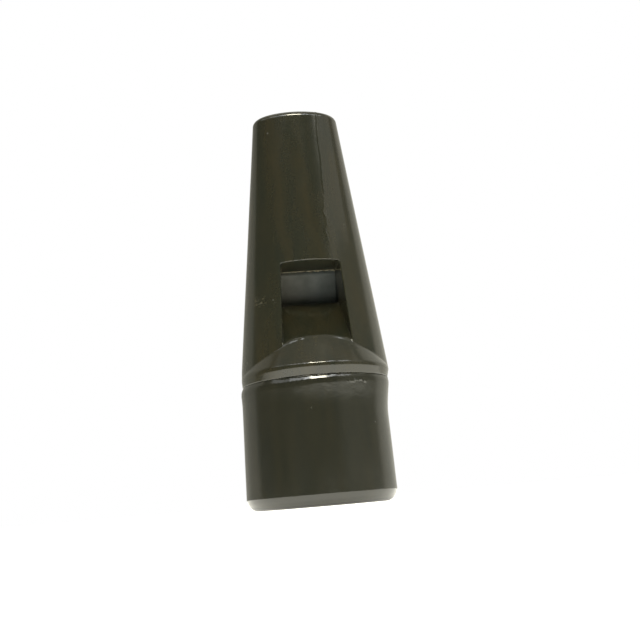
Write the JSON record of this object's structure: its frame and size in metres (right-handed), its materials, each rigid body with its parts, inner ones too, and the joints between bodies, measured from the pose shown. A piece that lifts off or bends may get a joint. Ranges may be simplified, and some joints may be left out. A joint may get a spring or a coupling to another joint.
{
  "type": "blown training whistle",
  "caption": "Hand-held blown whistle: tapering oval mouthpiece with a sounding window, and a round closed cup as its air chamber.",
  "frame": {"origin": "middle of the flat base of the end cup", "axes": "+Z along the whistle from the base to the blowing end, -Y out of the sounding window, X across it"},
  "size_m": [0.0221, 0.0218, 0.059],
  "materials": {
    "body_plastic": "glossy very dark olive moulded plastic",
    "block_plastic": "dark blue-grey moulded plastic, slightly dull",
    "cup_plastic": "glossy very dark olive moulded plastic"
  },
  "bodies": {
    "root": {"whistle_body": "body_plastic", "fipple_block": "block_plastic", "end_cup": "cup_plastic"}
  },
  "joints": []
}
